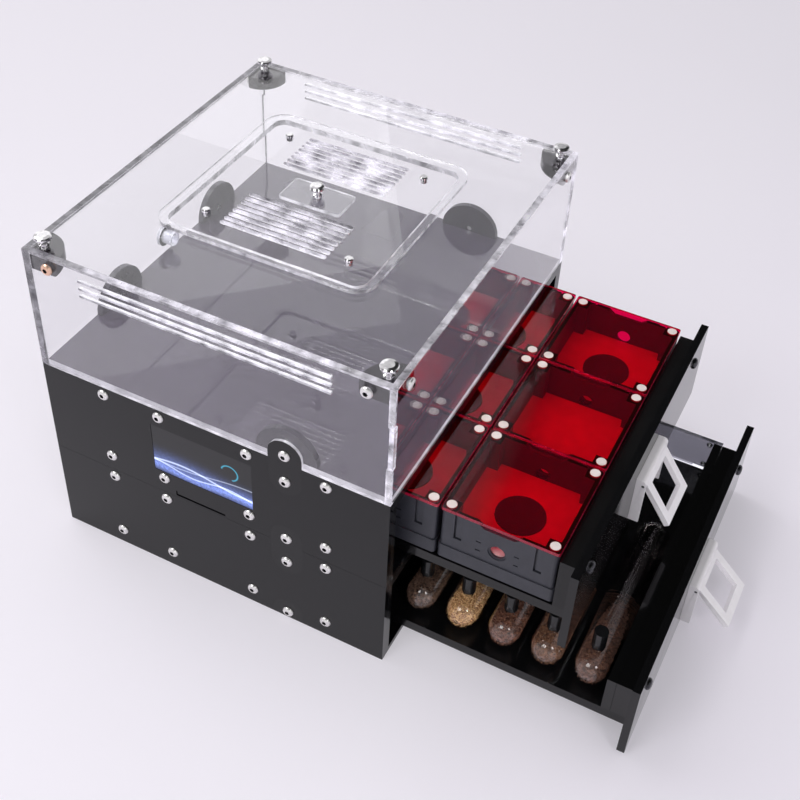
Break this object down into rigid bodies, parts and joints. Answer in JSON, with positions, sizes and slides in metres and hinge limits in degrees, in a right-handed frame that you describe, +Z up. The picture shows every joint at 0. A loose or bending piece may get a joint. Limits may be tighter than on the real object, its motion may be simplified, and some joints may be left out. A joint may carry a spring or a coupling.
{
  "type": "ant habitat",
  "caption": "Clear outworld box with a lift-off lid and hatch on two black cabinets whose drawers hold red-lidded ant nests and seed feeder tubes.",
  "frame": {"origin": "centre of the lower cabinet's flat underside", "axes": "+X towards the drawers' pull-out side, +Y from the display side to the back, +Z up"},
  "size_m": [0.569, 0.3488, 0.3177],
  "materials": {
    "black_acrylic": "gloss black cast acrylic sheet with polished edges",
    "liner_acrylic": "satin black acrylic strip",
    "tab_acrylic": "gloss black acrylic tab",
    "clear_acrylic": "clear cast acrylic with bright polished edges",
    "lid_acrylic": "clear cast acrylic, laser cut",
    "grey_acrylic": "grey translucent acrylic floor, polished",
    "smoked_acrylic": "smoked dark grey acrylic",
    "bracket_plastic": "gloss black acrylic block",
    "screw_steel": "bright button head screws with hexagon sockets",
    "knob_steel": "polished turned thumb screws",
    "peg_steel": "polished pegs",
    "runner_steel": "pressed steel runner",
    "screen_glass": "display glass with a plain glowing band",
    "module_plastic": "black moulded display housing",
    "front_acrylic": "gloss black acrylic drawer front",
    "dark_screw": "black button head screws",
    "bar_plastic": "satin black bar",
    "base_acrylic": "black acrylic drawer base",
    "handle_plastic": "white moulded plastic",
    "pin_steel": "steel hinge pin",
    "tray_plastic": "slate grey moulded plastic with a fine grain",
    "floor_plate": "pale mineral nest floor",
    "moisture_foam": "dark open-cell foam",
    "magnet_white": "white coated magnet",
    "red_acrylic": "transparent red acrylic",
    "tube_glass": "clear glass",
    "cap_rubber": "glossy black rubber",
    "seed": "loose seed in brown and tan grains"
  },
  "bodies": {
    "habitat": {"lower_front_panel": "black_acrylic", "upper_front_panel": "black_acrylic", "back_panels": "black_acrylic", "left_panels": "black_acrylic", "lower_bottom_plate": "black_acrylic", "upper_bottom_plate": "black_acrylic", "side_liners": "liner_acrylic", "opening_headers": "liner_acrylic", "runner_channels": "runner_steel", "display_screen": "screen_glass", "display_housing": "module_plastic", "panel_screws": "screw_steel", "joining_tabs": "tab_acrylic", "tab_backers": "smoked_acrylic", "outworld_floor": "grey_acrylic", "outworld_front_wall": "clear_acrylic", "outworld_back_wall": "clear_acrylic", "outworld_left_wall": "clear_acrylic", "outworld_right_wall": "clear_acrylic", "corner_brackets": "bracket_plastic", "bracket_screws": "screw_steel", "port_bush": "clear_acrylic"},
    "lid": {"lid_plate": "lid_acrylic"},
    "knob_front_left": {"lid_knob_front_left": "knob_steel"},
    "knob_front_right": {"lid_knob_front_right": "knob_steel"},
    "knob_back_left": {"lid_knob_back_left": "knob_steel"},
    "knob_back_right": {"lid_knob_back_right": "knob_steel"},
    "hatch": {"hatch_plate": "lid_acrylic", "hatch_pad": "lid_acrylic", "hatch_pegs": "peg_steel"},
    "hatch_turn_knob": {"hatch_knob": "knob_steel"},
    "upper_drawer": {"upper_drawer_base": "base_acrylic", "upper_drawer_rails": "runner_steel", "upper_drawer_bar": "bar_plastic", "upper_drawer_front": "front_acrylic", "upper_drawer_screws": "dark_screw", "upper_handle_base": "handle_plastic", "upper_handle_pin": "pin_steel", "front_nest_trays": "tray_plastic", "middle_nest_trays": "tray_plastic", "back_nest_trays": "tray_plastic", "nest_floors": "floor_plate", "moisture_inserts": "moisture_foam", "nest_magnets": "magnet_white", "inner_nest_lids": "red_acrylic"},
    "upper_ring": {"upper_handle_ring": "handle_plastic"},
    "front_lid": {"front_nest_lid": "red_acrylic"},
    "middle_lid": {"middle_nest_lid": "red_acrylic"},
    "back_lid": {"back_nest_lid": "red_acrylic"},
    "lower_drawer": {"lower_drawer_base": "base_acrylic", "lower_drawer_rails": "runner_steel", "lower_drawer_walls": "base_acrylic", "lower_drawer_front": "front_acrylic", "lower_drawer_screws": "dark_screw", "lower_handle_base": "handle_plastic", "lower_handle_pin": "pin_steel", "feeder_tubes": "tube_glass", "tube_caps": "cap_rubber", "tube_fill": "seed"},
    "lower_ring": {"lower_handle_ring": "handle_plastic"}
  },
  "joints": [
    {"name": "upper_drawer_slide", "type": "slide", "parent": "habitat", "child": "upper_drawer", "axis": [1, 0, 0], "range_m": [-0.1444, 0.0621]},
    {"name": "lower_drawer_slide", "type": "slide", "parent": "habitat", "child": "lower_drawer", "axis": [1, 0, 0], "range_m": [-0.2065, 0]},
    {"name": "upper_ring_swing", "type": "hinge", "parent": "upper_drawer", "child": "upper_ring", "pos_m": [0.3106, 0.0045, 0.1504], "axis": [0, -1, 0], "range_deg": [-35, 55]},
    {"name": "lower_ring_swing", "type": "hinge", "parent": "lower_drawer", "child": "lower_ring", "pos_m": [0.3727, 0.0045, 0.056], "axis": [0, -1, 0], "range_deg": [-46, 44]},
    {"name": "lid_lift", "type": "slide", "parent": "habitat", "child": "lid", "axis": [0, 0, 1], "range_m": [0, 0.06]},
    {"name": "hatch_lift", "type": "slide", "parent": "lid", "child": "hatch", "axis": [0, 0, 1], "range_m": [0, 0.05]},
    {"name": "hatch_knob_turn", "type": "hinge", "parent": "hatch", "child": "hatch_turn_knob", "pos_m": [0, 0, 0.3087], "axis": [0, 0, 1], "continuous": true},
    {"name": "knob_front_left_turn", "type": "hinge", "parent": "lid", "child": "knob_front_left", "pos_m": [-0.148, -0.15975, 0.3056], "axis": [0, 0, 1], "continuous": true},
    {"name": "knob_front_right_turn", "type": "hinge", "parent": "lid", "child": "knob_front_right", "pos_m": [0.148, -0.15975, 0.3056], "axis": [0, 0, 1], "continuous": true},
    {"name": "knob_back_left_turn", "type": "hinge", "parent": "lid", "child": "knob_back_left", "pos_m": [-0.148, 0.15975, 0.3056], "axis": [0, 0, 1], "continuous": true},
    {"name": "knob_back_right_turn", "type": "hinge", "parent": "lid", "child": "knob_back_right", "pos_m": [0.148, 0.15975, 0.3056], "axis": [0, 0, 1], "continuous": true},
    {"name": "front_lid_lift", "type": "slide", "parent": "upper_drawer", "child": "front_lid", "axis": [0, 0, 1], "range_m": [0, 0.04]},
    {"name": "middle_lid_lift", "type": "slide", "parent": "upper_drawer", "child": "middle_lid", "axis": [0, 0, 1], "range_m": [0, 0.04]},
    {"name": "back_lid_lift", "type": "slide", "parent": "upper_drawer", "child": "back_lid", "axis": [0, 0, 1], "range_m": [0, 0.04]}
  ]
}
